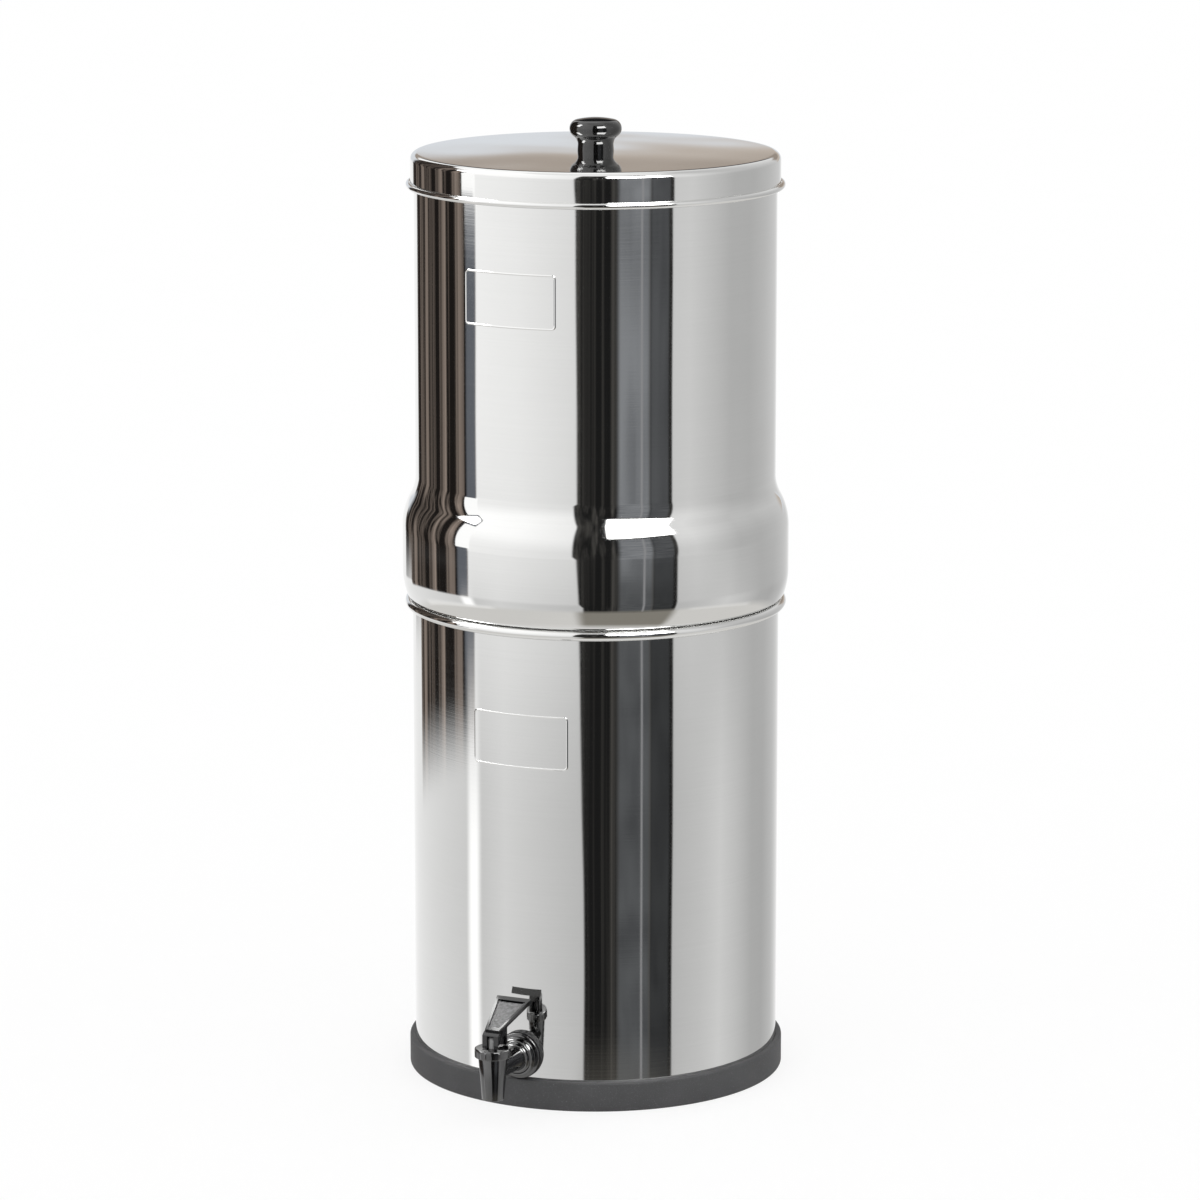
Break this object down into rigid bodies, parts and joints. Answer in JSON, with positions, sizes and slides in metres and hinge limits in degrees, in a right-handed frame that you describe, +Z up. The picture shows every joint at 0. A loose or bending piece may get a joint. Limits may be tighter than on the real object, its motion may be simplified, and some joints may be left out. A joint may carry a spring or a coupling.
{
  "type": "gravity water filter",
  "caption": "Gravity water filter: two stacked polished steel chambers with lid and knob, filter elements inside, rubber base ring and a black lever tap.",
  "frame": {"origin": "centre of the base ring's underside, on the chambers' axis", "axes": "+Z up along the chambers' axis, the tap points along -Y, +X to the right of the tap seen from the front"},
  "size_m": [0.2676, 0.3188, 0.6666],
  "materials": {
    "polished_steel": "mirror polished stainless steel sheet",
    "bright_steel": "bright",
    "spring_steel": "drawn wire",
    "gloss_black": "glossy",
    "dull_black": "moulded",
    "base_rubber": "matt, speckled",
    "seal_rubber": "matt",
    "silicone": "satin",
    "filter_carbon": "pressed carbon"
  },
  "bodies": {
    "vessel": {"base_ring": "base_rubber", "lower_chamber": "polished_steel", "tap_body": "gloss_black", "tap_outer_washer": "seal_rubber", "tap_inner_washer": "seal_rubber", "tap_nut": "dull_black", "tap_bonnet": "gloss_black", "valve_spring": "spring_steel"},
    "upper": {"upper_chamber": "polished_steel", "filter_block_1": "filter_carbon", "filter_base_1": "dull_black", "filter_block_2": "filter_carbon", "filter_base_2": "dull_black", "filter_washers": "seal_rubber", "wing_nuts": "dull_black", "hole_plugs": "seal_rubber", "plug_nuts": "dull_black"},
    "lid": {"lid": "polished_steel", "lid_knob": "gloss_black", "knob_washer": "bright_steel", "knob_screw": "bright_steel"},
    "valve": {"seat_cup": "silicone", "valve_stem": "dull_black", "handle_pin": "bright_steel"},
    "lever": {"tap_handle": "gloss_black"}
  },
  "joints": [
    {"name": "upper_lift", "type": "slide", "parent": "vessel", "child": "upper", "axis": [0, 0, 1], "range_m": [0, 0.1]},
    {"name": "lid_lift", "type": "slide", "parent": "upper", "child": "lid", "axis": [0, 0, 1], "range_m": [0, 0.12]},
    {"name": "stem_lift", "type": "slide", "parent": "vessel", "child": "valve", "axis": [0, 0, 1], "range_m": [0, 0.00402], "stiffness_N_per_m": 400, "springref_m": -0.004, "deforming": ["valve_spring"]},
    {"name": "lever_press", "type": "hinge", "parent": "valve", "child": "lever", "pos_m": [0, -0.1721, 0.058], "axis": [-1, 0, 0], "range_deg": [0, 24]}
  ],
  "couplings": [
    {"joint": "lever_press", "follows": "stem_lift", "rad_per_m": 104.17}
  ]
}
